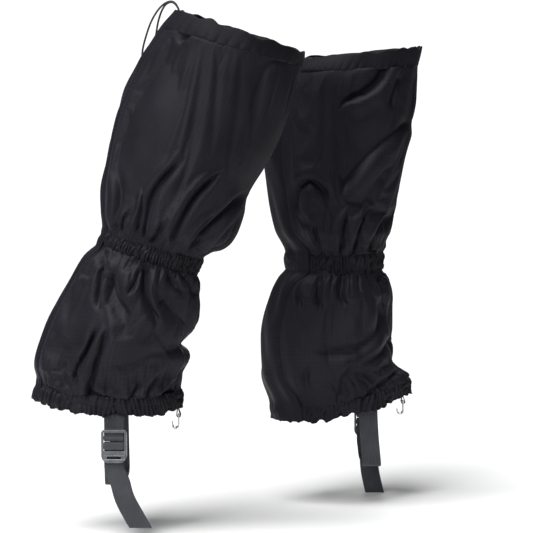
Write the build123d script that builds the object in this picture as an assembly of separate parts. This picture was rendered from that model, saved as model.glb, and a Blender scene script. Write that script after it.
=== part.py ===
from build123d import *
from collections import namedtuple
import math
import os

# A pair of hiking gaiters in the shape they take on a striding wearer's legs.
# Millimetres.  X points to the toes, Y to the wearer's left, Z up.  The origin is the middle of
# the right gaiter's waist elastic.

# ------------------------------------------------------------------ driving dimensions
FABRIC = 1.2            # coated ripstop, with the depth of its gathers
LINING = 0.8
ELASTIC = 1.2
FOLD = 1.0              # each leg of a folded hem
CASING_OUT = 1.2        # a folded hem stands this far outside the shell
TOUCH_TAPE = 1.0        # hook strip or loop strip
GAP = 0.3               # between neighbouring pieces

WEB_WIDE = 20.0
WEB_THICK = 1.2
CORD_DIA = 2.0

BUCKLE_WIDE = 25.4
BUCKLE_HIGH = 33.0
RAIL_WIDE = 2.2
HEAD_ROUND = 3.4        # corner radius of the buckle's outline at its top
FOOT_ROUND = 7.5        # and at its foot
FOOT_SLOT = (14.5, 2.6)
FOOT_SLOT_DROP = 28.0   # the foot slot's middle, below the buckle's top
BAR_RADIUS = 1.5
BAR_DROP = 8.5          # the pivot bar's axis, below the buckle's top
STAND_OFF = 3.5         # the buckle stands this far outside the webbing's seam on the hem

HOOK_WIDE = 12.0
HOOK_METAL = 1.2
HOOK_INNER_RADIUS = 2.6
HOOK_DROP = 10.0        # centre of the hook's bend, below its bar
TAB_WIDE = 8.0
TAB_THICK = 0.9

LOCK_RADIUS = 6.5
LOCK_LONG = 17.0
PLUNGER_RADIUS = 4.6
PLUNGER_TRAVEL = 3.5
LOCK_SLOT = 5.0         # room for two cords side by side

LEFT_FORWARD = 189.3    # the left waist, ahead of the right one
LEFT_APART = 175.0      # and to its left
LEFT_DROP = -23.0

# A station is one flat, elliptical section of the leg tube: its rearmost point and its foremost
# point as (x, z) from the middle of the waist, and its half depth along Y.
Station = namedtuple("Station", "back front depth")

RIGHT_HEM = [
    Station((13.0, 223.0), (151.0, 184.5), 57.0),
    Station((27.0, 241.5), (153.0, 199.5), 56.0),
]
RIGHT_CALF = [
    Station((-45.5, 22.0), (52.0, -5.0), 46.0),
    Station((-48.0, 40.0), (77.0, 14.0), 56.5),
    Station((-47.0, 62.0), (87.0, 32.0), 59.0),
    Station((-41.0, 101.5), (97.0, 62.0), 60.0),
    Station((-29.0, 146.5), (123.0, 101.5), 60.0),
    Station((-9.0, 189.5), (140.0, 140.0), 59.0),
    RIGHT_HEM[0],
]
RIGHT_WAIST = [
    Station((-51.0, 7.5), (45.0, -21.5), 46.0),
    RIGHT_CALF[0],
]
RIGHT_CUFF = [
    Station((-118.0, -149.0), (32.0, -157.0), 46.0),
    Station((-113.0, -131.0), (28.0, -138.0), 47.5),
]
RIGHT_ANKLE = [
    RIGHT_CUFF[1],
    Station((-116.0, -115.5), (35.0, -110.0), 54.0),
    Station((-105.0, -77.5), (38.0, -85.0), 58.0),
    Station((-86.0, -38.5), (47.6, -65.5), 58.5),
    Station((-67.0, -6.5), (45.0, -37.0), 54.0),
    RIGHT_WAIST[0],
]

LEFT_HEM = [
    Station((-55.0, 200.0), (87.0, 206.0), 57.0),
    Station((-40.0, 215.0), (91.5, 226.8), 56.0),
]
LEFT_CALF = [
    Station((-50.5, 9.0), (51.5, 10.0), 46.0),
    Station((-62.6, 34.2), (60.0, 33.0), 56.0),
    Station((-69.0, 69.6), (67.0, 71.0), 59.0),
    Station((-75.0, 116.0), (72.0, 110.0), 60.0),
    Station((-74.0, 145.0), (79.5, 145.0), 60.0),
    Station((-68.0, 175.0), (85.0, 178.0), 59.0),
    LEFT_HEM[0],
]
LEFT_WAIST = [
    Station((-49.8, -10.0), (49.2, -12.4), 46.0),
    LEFT_CALF[0],
]
LEFT_CUFF = [
    Station((-65.0, -172.0), (78.0, -145.0), 46.0),
    Station((-66.0, -156.0), (80.0, -128.0), 47.5),
]
LEFT_ANKLE = [
    LEFT_CUFF[1],
    Station((-77.0, -122.0), (66.0, -108.0), 54.0),
    Station((-77.0, -84.0), (61.0, -80.0), 58.0),
    Station((-67.0, -37.5), (62.0, -36.0), 58.5),
    Station((-60.0, -22.0), (56.0, -24.0), 54.0),
    LEFT_WAIST[0],
]

# A gaiter is built with its lateral side, the buckle side, at +Y, and the right one is mirrored.
# strap_x is the middle of the under-foot strap, bar_out the pivot bar's distance from the
# gaiter's middle plane, and tail lists the strap tail's middle line as (x, z) from the
# buckle's lower end.
Gaiter = namedtuple("Gaiter", "name centre mirrored hem calf waist ankle cuff "
                              "strap_x bar_out seam_z buckle_z sole_z sole_half tail hook")
RIGHT = Gaiter(
    name="right", centre=(0.0, 0.0, 0.0), mirrored=True,
    hem=RIGHT_HEM, calf=RIGHT_CALF, waist=RIGHT_WAIST, ankle=RIGHT_ANKLE, cuff=RIGHT_CUFF,
    strap_x=-35.8, bar_out=44.3, seam_z=-153.0, buckle_z=-173.3, sole_z=-230.0, sole_half=42.0,
    tail=[(0.0, 3.0), (0.8, -8.0), (5.8, -20.0), (11.2, -38.0), (26.0, -66.0)],
    hook=(27.0, -165.0),
)
LEFT = Gaiter(
    name="left", centre=(LEFT_FORWARD, LEFT_APART, LEFT_DROP), mirrored=False,
    hem=LEFT_HEM, calf=LEFT_CALF, waist=LEFT_WAIST, ankle=LEFT_ANKLE, cuff=LEFT_CUFF,
    strap_x=35.0, bar_out=37.5, seam_z=-152.0, buckle_z=-165.3, sole_z=-220.0, sole_half=35.0,
    tail=[(0.0, 3.0), (0.5, -8.0), (3.0, -21.0), (5.0, -40.0), (10.0, -62.0)],
    hook=(73.5, -154.0),
)

# The storm flap's edges and the touch tape's edges, from the rear middle line, lateral side first.
FLAP_EDGES = (16.0, -38.0)
TAPE_EDGES = (12.0, -13.0)
NOTCH_HALF = 5.0        # the casing is open for this far each side of the rear middle line
NOTCH_DEEP = 7.0

# The free drawcord's route, in order: out of the casing, down behind the calf to the cord lock,
# round the bight below the lock, and back up to the casing.
CORD_DOWN = [
    (29.0, -2.5, 239.5),
    (25.5, -2.0, 251.0),
    (13.0, 1.0, 248.5),
    (1.5, 6.5, 233.5),
    (-5.5, 14.0, 215.0),
    (-10.5, 23.5, 196.5),
]
CORD_UP = [
    (-1.5, 34.0, 196.0),
    (4.2, 23.0, 214.0),
    (7.0, 14.0, 231.5),
    (14.0, 7.5, 248.0),
    (25.0, 3.5, 250.0),
    (29.0, 2.5, 239.5),
]
LOCK_CENTRE = (-12.5, 48.5, 156.0)
LOCK_AXIS = (0.777, 0.630, 0.0)
LOCK_UP = (0.319, 0.0, 0.948)
LOCK_ENTRY = 14.0       # the cords run straight from here to as far below
STRAND_APART = 1.2      # each strand, from the lock's middle
BIGHT = [(-1.2, -10.0), (-8.0, -20.0), (-5.5, -31.0), (5.5, -31.0), (8.0, -20.0), (1.2, -10.0)]


# ------------------------------------------------------------------ the leg tube
def between(low, high, t):
    """The station a share t of the way from low to high."""
    def mix(a, b):
        return a + (b - a) * t
    back = (mix(low.back[0], high.back[0]), mix(low.back[1], high.back[1]))
    front = (mix(low.front[0], high.front[0]), mix(low.front[1], high.front[1]))
    return Station(back, front, mix(low.depth, high.depth))


def section(station, offset):
    """The filled ellipse at a station, grown by offset."""
    (bx, bz), (fx, fz) = station.back, station.front
    middle = ((bx + fx) / 2, 0, (bz + fz) / 2)
    half_long = math.hypot(fx - bx, fz - bz) / 2
    plane = Plane(origin=middle, x_dir=(fx - bx, 0, fz - bz), z_dir=(bz - fz, 0, fx - bx))
    return plane * Ellipse(half_long + offset, station.depth + offset)


def skin(stations, offset):
    """The smooth side face through all the stations, grown by offset."""
    solid = loft([section(s, offset) for s in stations])
    return [face for face in solid.faces() if face.geom_type != GeomType.PLANE]


def tube(stations, outer, inner):
    """A wall round the leg, between two offsets from the shell's outer face."""
    faces = skin(stations, outer) + skin(stations, inner)
    for end in (stations[0], stations[-1]):
        faces += (section(end, outer) - section(end, inner)).faces()
    return Part() + Solid(Shell(faces))


def ring(band, outer, inner, low, high):
    """A wall on part of a two-station band, from the share low to the share high of its height."""
    ends = [between(band[0], band[1], low), between(band[0], band[1], high)]
    return tube(ends, outer, inner)


def strip(stations, edges, outer, inner):
    """A strip that runs up the back of the leg, between two distances along Y."""
    width = edges[0] - edges[1]
    slab = Pos(0, edges[0] - width / 2, 0) * Box(1000, width, 1000)
    front_and_back = tube(stations, outer, inner) & slab
    return Part() + front_and_back.solids().sort_by(Axis.X)[0]


def notch(g):
    """The opening at the back of the top hem, where the cord leaves its casing."""
    x, z = g.hem[1].back
    return Pos(x + 2, 0, z) * Box(20, 2 * NOTCH_HALF, 2 * NOTCH_DEEP)


def shell_pieces(g):
    """The fabric tube: calf panel, gathered waist, ankle panel and the two folded hems."""
    inner_leg = -FABRIC - GAP - FOLD
    channel_out = CASING_OUT - FOLD
    channel_in = inner_leg + FOLD
    hem = tube(g.hem, CASING_OUT, inner_leg) - ring(g.hem, channel_out, channel_in, 0, 0.93)
    cuff = tube(g.cuff, CASING_OUT, inner_leg) - ring(g.cuff, channel_out, channel_in, 0.07, 1)
    cord_ring = ring(g.hem, channel_out - 0.1, channel_in + 0.1, 0.64, 0.75)
    return {
        "top_hem": hem - notch(g),
        "hem_drawcord": cord_ring - notch(g),
        "calf_panel": tube(g.calf, 0, -FABRIC),
        "waist_casing": tube(g.waist, 0, -FABRIC),
        "waist_elastic": ring(g.waist, -FABRIC - GAP, -FABRIC - GAP - ELASTIC, 0.1, 0.9),
        "waist_lining": ring(g.waist, -FABRIC - 2 * GAP - ELASTIC,
                             -FABRIC - 2 * GAP - ELASTIC - LINING, 0, 1),
        "ankle_panel": tube(g.ankle, 0, -FABRIC),
        "bottom_cuff": cuff,
        "bottom_elastic": ring(g.cuff, channel_out - 0.1, channel_in + 0.1, 0.15, 0.7),
    }


def closure_pieces(g):
    """The rear closure: loop tape on the shell, hook tape on it, and the storm flap over both."""
    loop_in = GAP
    hook_in = loop_in + TOUCH_TAPE + 0.1
    flap_in = hook_in + TOUCH_TAPE + GAP
    runs = [g.cuff, g.ankle, g.waist, g.calf, g.hem]
    flap = [strip(run, FLAP_EDGES, flap_in + FABRIC, flap_in) for run in runs]
    hooks = [strip(run, TAPE_EDGES, hook_in + TOUCH_TAPE, hook_in) for run in (g.ankle, g.calf)]
    loops = [strip(run, TAPE_EDGES, loop_in + TOUCH_TAPE, loop_in) for run in (g.ankle, g.calf)]
    return {
        "storm_flap": flap[0] + flap[1:],
        "lower_hook_tape": hooks[0],
        "upper_hook_tape": hooks[1],
        "lower_loop_tape": loops[0],
        "upper_loop_tape": loops[1],
    }


# ------------------------------------------------------------------ webbing and buckle
def webbing_loop(seam, bar, radius, thick):
    """Side view of webbing doubled round a bar: two layers from seam (out, z) down to bar."""
    turn = radius + 2 * GAP + thick / 2
    lay = thick / 2 + GAP / 2
    (seam_out, seam_z), (bar_out, bar_z) = seam, bar
    spread = bar_z + 9.0 * radius / BAR_RADIUS
    front = Polyline((seam_out + lay, seam_z), (seam_out + lay, spread), (bar_out + turn, bar_z))
    under = ThreePointArc((bar_out + turn, bar_z), (bar_out, bar_z - turn), (bar_out - turn, bar_z))
    rear = Polyline((bar_out - turn, bar_z), (seam_out - lay, spread), (seam_out - lay, seam_z))
    return trace([front, under, rear], thick)


def across(side_view, x, width):
    """A side view (out, z) made solid across a width in X, centred at x."""
    return Pos(x - width / 2, 0, 0) * extrude(Plane.YZ * side_view, amount=width)


def bar_z(g):
    return g.buckle_z - BAR_DROP


def hanger(g):
    """The short webbing loop that holds the buckle on the hem."""
    seam = (g.bar_out - STAND_OFF, g.seam_z + 12)
    side = webbing_loop(seam, (g.bar_out, bar_z(g)), BAR_RADIUS, WEB_THICK)
    return across(side, g.strap_x, WEB_WIDE)


def bar_block(out_low, out_high, drop_low, drop_high, round_to):
    """Side view of a bar with rounded corners, placed from the pivot and the buckle's top."""
    wide = out_high - out_low
    high = drop_high - drop_low
    place = Pos((out_low + out_high) / 2, -(drop_low + drop_high) / 2)
    return place * RectangleRounded(wide, high, round_to)


def buckle_outline():
    """Front view of the buckle: lightly rounded at the top and well rounded at the foot."""
    head_high = BUCKLE_HIGH - 2 * HEAD_ROUND - FOOT_ROUND + 2
    foot_high = BUCKLE_HIGH - 2 * HEAD_ROUND
    head = Pos(0, -head_high / 2) * RectangleRounded(BUCKLE_WIDE, head_high, HEAD_ROUND)
    foot_middle = foot_high / 2 - BUCKLE_HIGH
    return head + Pos(0, foot_middle) * RectangleRounded(BUCKLE_WIDE, foot_high, FOOT_ROUND)


def buckle_foot(outline):
    """The plate that closes the buckle below its bars, with a rounded slot."""
    top = 25.5
    out, thick = 3.0, 2.5
    band = Pos(0, -(top + BUCKLE_HIGH) / 2) * Rectangle(BUCKLE_WIDE, BUCKLE_HIGH - top)
    slot = Pos(0, -FOOT_SLOT_DROP) * RectangleRounded(*FOOT_SLOT, FOOT_SLOT[1] / 2 - 0.05)
    return extrude(Plane.XZ.offset(-out) * ((outline & band) - slot), amount=thick)


def buckle(g):
    """A moulded ladder-lock buckle: two rails, a pivot bar, and bars that grip the webbing."""
    outline = buckle_outline()
    rail = make_face(FilletPolyline(
        (1.0, 0.0), (3.8, 0.0), (3.8, -4.0), (2.8, -9.0), (3.0, -22.0), (3.9, -BUCKLE_HIGH),
        (1.9, -BUCKLE_HIGH), (-1.7, -26.0), (-1.9, -5.5), radius=0.9, close=True))
    inner = BUCKLE_WIDE - 2 * RAIL_WIDE
    span = inner + 1.0
    side = inner / 2 + RAIL_WIDE / 2
    rails = [across(rail, x, RAIL_WIDE) for x in (-side, side)]
    bars = [
        bar_block(2.2, 3.8, 0.0, 2.6, 0.7),
        bar_block(-BAR_RADIUS, BAR_RADIUS, BAR_DROP - BAR_RADIUS, BAR_DROP + BAR_RADIUS, 1.49),
        bar_block(-1.2, 1.6, 13.9, 19.0, 0.6),
        bar_block(0.4, 2.6, 21.3, 26.0, 0.9),
        bar_block(0.5, 3.6, 29.4, BUCKLE_HIGH, 1.2),
    ]
    solid = rails[0] + rails[1:] + [across(b, 0, span) for b in bars]
    solid += buckle_foot(outline)
    solid &= extrude(Plane.XZ * outline, amount=2 * BUCKLE_HIGH, both=True)
    return Pos(g.strap_x, g.bar_out, g.buckle_z) * solid


def strap_wrap(g):
    """The strap where it passes through the buckle, and its free tail below."""
    path = FilletPolyline((-3.0, -18.0), (-3.0, -12.9), (2.5, -12.9), (2.5, -20.0),
                          (-0.6, -20.0), (-0.6, -BUCKLE_HIGH), radius=1.0)
    wrap = across(trace(path, WEB_THICK), 0, WEB_WIDE)
    line = FilletPolyline(*g.tail, radius=14)
    ribbon = extrude(Plane.XZ * trace(line, WEB_WIDE), amount=WEB_THICK)
    level_cut = Pos(0, 0, g.tail[-1][1] + 60) * Box(150, 20, 120)
    tail = Pos(0, -0.6 + WEB_THICK / 2, -BUCKLE_HIGH) * (ribbon & level_cut)
    return Pos(g.strap_x, g.bar_out, g.buckle_z) * (wrap + tail)


def underfoot_strap(g):
    """The strap from behind the buckle, under the sole, to its seam inside the medial hem."""
    out = g.bar_out - 3.0
    medial = g.bar_out - STAND_OFF
    path = FilletPolyline(
        (out, g.buckle_z - 18.4), (out, g.buckle_z - 36), (g.sole_half, g.sole_z),
        (-g.sole_half, g.sole_z), (-medial, g.seam_z + 12), radius=9)
    return across(trace(path, WEB_THICK), g.strap_x, WEB_WIDE)


# ------------------------------------------------------------------ lace hook
def hook_tab(g):
    """The narrow tape that holds the lace hook inside the front of the hem."""
    x, z = g.hook
    side = webbing_loop((x - 0.8, z + 14), (x, z), 1.0, TAB_THICK)
    return Pos(0, TAB_WIDE / 2, 0) * extrude(Plane.XZ * side, amount=TAB_WIDE)


def lace_hook(g):
    """A bent metal hook: a bar in the tab, two lugs, a plate and a bend that opens to the rear."""
    bend = HOOK_INNER_RADIUS + HOOK_METAL / 2
    top = -3.4
    low = -HOOK_DROP
    plate = trace([
        Line((0, top), (0, low)),
        ThreePointArc((0, low), (-bend, low - bend), (-2 * bend, low)),
        Line((-2 * bend, low), (-2 * bend, low + 2.6)),
    ], HOOK_METAL)
    body = Pos(0, HOOK_WIDE / 2, 0) * extrude(Plane.XZ * plate, amount=HOOK_WIDE)
    bar = Rot(90, 0, 0) * Cylinder(1.0, HOOK_WIDE)
    lug_wide = (HOOK_WIDE - TAB_WIDE) / 2 - 0.5
    lug = Pos(0, 0, top / 2 - 0.2) * Box(HOOK_METAL, lug_wide, -top + 0.4)
    side = HOOK_WIDE / 2 - lug_wide / 2
    solid = body + [bar, Pos(0, side, 0) * lug, Pos(0, -side, 0) * lug]
    x, z = g.hook
    return Pos(x, 0, z) * solid


# ------------------------------------------------------------------ drawcord and cord lock
def lock_plane():
    return Plane(origin=LOCK_CENTRE, x_dir=LOCK_AXIS, z_dir=LOCK_UP)


def cord_route():
    """The free cord's route points, from one end of the casing round to the other."""
    plane = lock_plane()

    def in_lock(along, up):
        point = plane.from_local_coords(Vector(along, 0, up))
        return (point.X, point.Y, point.Z)

    turn = [in_lock(-STRAND_APART, LOCK_ENTRY)]
    turn += [in_lock(along, up) for along, up in BIGHT]
    turn += [in_lock(STRAND_APART, LOCK_ENTRY)]
    return CORD_DOWN + turn + CORD_UP


def corner_radii(route):
    """The largest arc each corner of the route has room for."""
    radii = []
    for before, here, after in zip(route, route[1:], route[2:]):
        a = Vector(*here) - Vector(*before)
        b = Vector(*after) - Vector(*here)
        half_turn = math.radians(a.get_angle(b)) / 2
        radii.append(0.45 * min(a.length, b.length) / math.tan(half_turn))
    return radii


def drawcord():
    """The free cord: straight runs joined by tangent arcs."""
    route = cord_route()
    radii = corner_radii(route)
    path = FilletPolyline(*route, radius=radii)
    start = Plane(origin=path @ 0, z_dir=path % 0)
    tube_solid = sweep(start * Circle(CORD_DIA / 2), path=path)
    ideal = math.pi * CORD_DIA ** 2 / 4 * path.length
    print("cord radii", [round(r, 1) for r in radii])
    print("cord length", round(path.length, 1), "volume ratio", round(tube_solid.volume / ideal, 3))
    return tube_solid


def cord_lock():
    """Barrel, plunger and spring of the cord lock, each along the lock's own X axis."""
    bore = PLUNGER_RADIUS + GAP
    bore_start = -LOCK_LONG / 2 + 1.5
    along = Rot(0, 90, 0)
    barrel = along * Cylinder(LOCK_RADIUS, LOCK_LONG)
    barrel = fillet(barrel.edges(), 1.0)
    depth = LOCK_LONG / 2 - bore_start
    barrel -= Pos(bore_start + depth / 2, 0, 0) * along * Cylinder(bore, depth + 0.01)
    barrel -= Box(LOCK_SLOT, CORD_DIA + 0.8, 3 * LOCK_RADIUS)
    inside = bore_start + PLUNGER_TRAVEL + GAP
    button = LOCK_LONG / 2 + PLUNGER_TRAVEL + 2.0
    plunger = Pos((inside + button) / 2, 0, 0) * along * Cylinder(PLUNGER_RADIUS, button - inside)
    plunger = fillet(plunger.faces().sort_by(Axis.X)[-1].edges(), 1.2)
    slot_middle = PLUNGER_TRAVEL / 2
    plunger -= Pos(slot_middle, 0, 0) * Box(LOCK_SLOT + PLUNGER_TRAVEL, CORD_DIA + 0.8, 30)
    coils = 4
    wire = 0.4
    pitch = (inside - bore_start - GAP - 2 * wire) / (coils - 1)
    spring = [
        Pos(bore_start + wire + 0.1 + i * pitch, 0, 0) * along * Torus(3.2, wire)
        for i in range(coils)
    ]
    place = lock_plane()
    return {
        "cord_lock_barrel": place * barrel,
        "cord_lock_plunger": place * plunger,
        "cord_lock_spring": place * Compound(children=spring),
    }


# ------------------------------------------------------------------ assembly
def placed(g, piece):
    """A piece on its own side of the pair."""
    if g.mirrored:
        piece = mirror(piece, about=Plane.XZ)
    return Pos(*g.centre) * piece


def gaiter_pieces(g):
    pieces = shell_pieces(g)
    pieces.update(closure_pieces(g))
    pieces["buckle_hanger"] = hanger(g)
    pieces["buckle"] = buckle(g)
    pieces["strap_tail"] = strap_wrap(g)
    pieces["underfoot_strap"] = underfoot_strap(g)
    pieces["hook_tab"] = hook_tab(g)
    pieces["lace_hook"] = lace_hook(g)
    return {f"{g.name}_{name}": placed(g, piece) for name, piece in pieces.items()}


def main():
    os.makedirs("parts", exist_ok=True)
    pieces = {}
    for g in (RIGHT, LEFT):
        pieces.update(gaiter_pieces(g))
    pieces["right_drawcord_loop"] = drawcord()
    pieces.update({f"right_{name}": piece for name, piece in cord_lock().items()})
    for name, piece in pieces.items():
        export_step(piece, f"parts/{name}.step")
    print(len(pieces), "nodes")


main()
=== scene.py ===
import math

import bmesh
import bpy
import numpy as np
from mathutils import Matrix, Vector
from mathutils.bvhtree import BVHTree


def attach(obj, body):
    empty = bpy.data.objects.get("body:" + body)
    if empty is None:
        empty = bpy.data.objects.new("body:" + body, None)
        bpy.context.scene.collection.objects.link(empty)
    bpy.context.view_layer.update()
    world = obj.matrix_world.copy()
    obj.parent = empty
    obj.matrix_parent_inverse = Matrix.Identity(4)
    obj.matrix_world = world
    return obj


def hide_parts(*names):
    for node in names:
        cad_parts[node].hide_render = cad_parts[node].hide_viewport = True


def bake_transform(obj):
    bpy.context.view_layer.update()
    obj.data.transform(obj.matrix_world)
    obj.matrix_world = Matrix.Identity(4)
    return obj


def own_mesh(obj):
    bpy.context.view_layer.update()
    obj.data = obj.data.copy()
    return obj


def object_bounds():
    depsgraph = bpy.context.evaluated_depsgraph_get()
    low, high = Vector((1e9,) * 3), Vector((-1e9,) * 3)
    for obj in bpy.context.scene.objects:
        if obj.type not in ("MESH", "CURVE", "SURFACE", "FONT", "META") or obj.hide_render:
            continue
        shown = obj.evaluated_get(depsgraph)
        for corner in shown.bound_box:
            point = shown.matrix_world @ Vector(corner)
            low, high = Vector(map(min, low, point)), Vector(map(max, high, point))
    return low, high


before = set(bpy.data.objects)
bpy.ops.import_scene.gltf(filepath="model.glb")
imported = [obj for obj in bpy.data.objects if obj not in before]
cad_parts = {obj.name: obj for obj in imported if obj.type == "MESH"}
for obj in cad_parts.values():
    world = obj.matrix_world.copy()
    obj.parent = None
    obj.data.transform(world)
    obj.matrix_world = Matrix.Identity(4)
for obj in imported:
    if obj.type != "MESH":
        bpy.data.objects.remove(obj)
cad_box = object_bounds()

# A pair of hiking gaiters on a striding wearer's legs.  Metres.  X points to the toes, Y to the
# wearer's left, Z up, and the origin is the middle of the right gaiter's waist elastic.
MM = 0.001

# ---------- camera
CAMERA_AT = (0.1155, -2.5, 0.2135)
CAMERA_DOWN = math.radians(5.22)
CAMERA_LENS = 168.9
SENSOR = 36.0


def link(obj):
    bpy.context.scene.collection.objects.link(obj)
    return obj


def make_camera():
    data = bpy.data.cameras.new("camera")
    data.lens = CAMERA_LENS
    data.sensor_width = SENSOR
    data.clip_end = 50
    camera = link(bpy.data.objects.new("camera", data))
    camera.location = CAMERA_AT
    camera.rotation_euler = (math.radians(90) - CAMERA_DOWN, 0, 0)
    bpy.context.scene.camera = camera


make_camera()

# ---------- free drawcord
# The route, in mm from the waist's middle: down to the lock, and back up to the casing.
CORD_DIA = 2.0 * MM
CORD_DOWN = [(29.0, -2.5, 239.5), (25.5, -2.0, 251.0), (13.0, 1.0, 248.5),
             (1.5, 6.5, 233.5), (-5.5, 14.0, 215.0), (-10.5, 23.5, 196.5)]
CORD_UP = [(-1.5, 34.0, 196.0), (4.2, 23.0, 214.0), (7.0, 14.0, 231.5),
           (14.0, 7.5, 248.0), (25.0, 3.5, 250.0), (29.0, 2.5, 239.5)]
LOCK_CENTRE = (-12.5, 48.5, 156.0)
LOCK_AXIS = (0.777, 0.630, 0.0)
LOCK_UP = (0.319, 0.0, 0.948)
LOCK_ENTRY = 14.0       # where the strands enter the lock, above its middle
STRAND_APART = 1.2      # half the distance between the two strands in the lock
BIGHT = [(-1.2, -10.0), (-8.0, -20.0), (-5.5, -31.0), (5.5, -31.0), (8.0, -20.0), (1.2, -10.0)]


def cord_route():
    """The cord's route: out of the casing, through the lock, round the bight and back up."""
    up = Vector(LOCK_UP).normalized()
    across = Vector(LOCK_AXIS)
    across = (across - across.dot(up) * up).normalized()

    def in_lock(a, u):
        return Vector(LOCK_CENTRE) + a * across + u * up

    turn = [in_lock(-STRAND_APART, LOCK_ENTRY)]
    turn += [in_lock(a, u) for a, u in BIGHT]
    turn += [in_lock(STRAND_APART, LOCK_ENTRY)]
    points = [Vector(p) for p in CORD_DOWN] + turn + [Vector(p) for p in CORD_UP]
    return [p * MM for p in points]


def make_cord(name, route):
    """A free cord: one NURBS curve with the route's points as its control points."""
    data = bpy.data.curves.new(name, "CURVE")
    data.dimensions = "3D"
    data.resolution_u = 10
    data.bevel_depth = 1.0      # the tube's radius is this times each point's radius
    data.bevel_resolution = 5
    data.use_fill_caps = True
    spline = data.splines.new("NURBS")
    spline.points.add(len(route) - 1)
    for control, point in zip(spline.points, route):
        control.co = (*point, 1)
        control.radius = CORD_DIA / 2
    spline.order_u = 3
    spline.use_endpoint_u = True
    return link(bpy.data.objects.new(name, data))


drawcord = make_cord("right_free_drawcord", cord_route())
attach(drawcord, "root")
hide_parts("right_drawcord_loop")


def squash_spring():
    """The real spring flattens towards the plunger while the button is pressed in; here it only
    gets a mesh of its own and keeps its shape.
    """
    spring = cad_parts["right_cord_lock_spring"]
    bpy.context.view_layer.update()
    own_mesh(spring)


squash_spring()

# ---------- leg shape
# A station is a flat elliptical section of the leg: its rearmost and foremost points as (x, z)
# from the middle of the waist, and its half depth, in millimetres.  Lowest first.
RIGHT_STATIONS = [
    ((-118.0, -149.0), (32.0, -157.0), 46.0),
    ((-113.0, -131.0), (28.0, -138.0), 47.5),
    ((-116.0, -115.5), (35.0, -110.0), 54.0),
    ((-105.0, -77.5), (38.0, -85.0), 58.0),
    ((-86.0, -38.5), (47.6, -65.5), 58.5),
    ((-67.0, -6.5), (45.0, -37.0), 54.0),
    ((-51.0, 7.5), (45.0, -21.5), 46.0),
    ((-45.5, 22.0), (52.0, -5.0), 46.0),
    ((-48.0, 40.0), (77.0, 14.0), 56.5),
    ((-47.0, 62.0), (87.0, 32.0), 59.0),
    ((-41.0, 101.5), (97.0, 62.0), 60.0),
    ((-29.0, 146.5), (123.0, 101.5), 60.0),
    ((-9.0, 189.5), (140.0, 140.0), 59.0),
    ((13.0, 223.0), (151.0, 184.5), 57.0),
    ((27.0, 241.5), (153.0, 199.5), 56.0),
]
LEFT_STATIONS = [
    ((-65.0, -172.0), (78.0, -145.0), 46.0),
    ((-66.0, -156.0), (80.0, -128.0), 47.5),
    ((-77.0, -122.0), (66.0, -108.0), 54.0),
    ((-77.0, -84.0), (61.0, -80.0), 58.0),
    ((-67.0, -37.5), (62.0, -36.0), 58.5),
    ((-60.0, -22.0), (56.0, -24.0), 54.0),
    ((-49.8, -10.0), (49.2, -12.4), 46.0),
    ((-50.5, 9.0), (51.5, 10.0), 46.0),
    ((-62.6, 34.2), (60.0, 33.0), 56.0),
    ((-69.0, 69.6), (67.0, 71.0), 59.0),
    ((-75.0, 116.0), (72.0, 110.0), 60.0),
    ((-74.0, 145.0), (79.5, 145.0), 60.0),
    ((-68.0, 175.0), (85.0, 178.0), 59.0),
    ((-55.0, 200.0), (87.0, 206.0), 57.0),
    ((-40.0, 215.0), (91.5, 226.8), 56.0),
]
BAND_EDGES = [1, 6, 7, 13, 14]     # stations of the cuff's top, waist's edges, hem's edge and rim
FLAP_EDGES = (16.0 * MM, 38.0 * MM)     # from the rear middle line: lateral side, medial side
FLAP_FADE = 4 * MM                  # how far past the flap's edges the bands stay flat
PANEL_FLAP_FADE = 11 * MM           # and the panels


def smooth(t):
    t = np.clip(t, 0, 1)
    return t * t * (3 - 2 * t)


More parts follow.
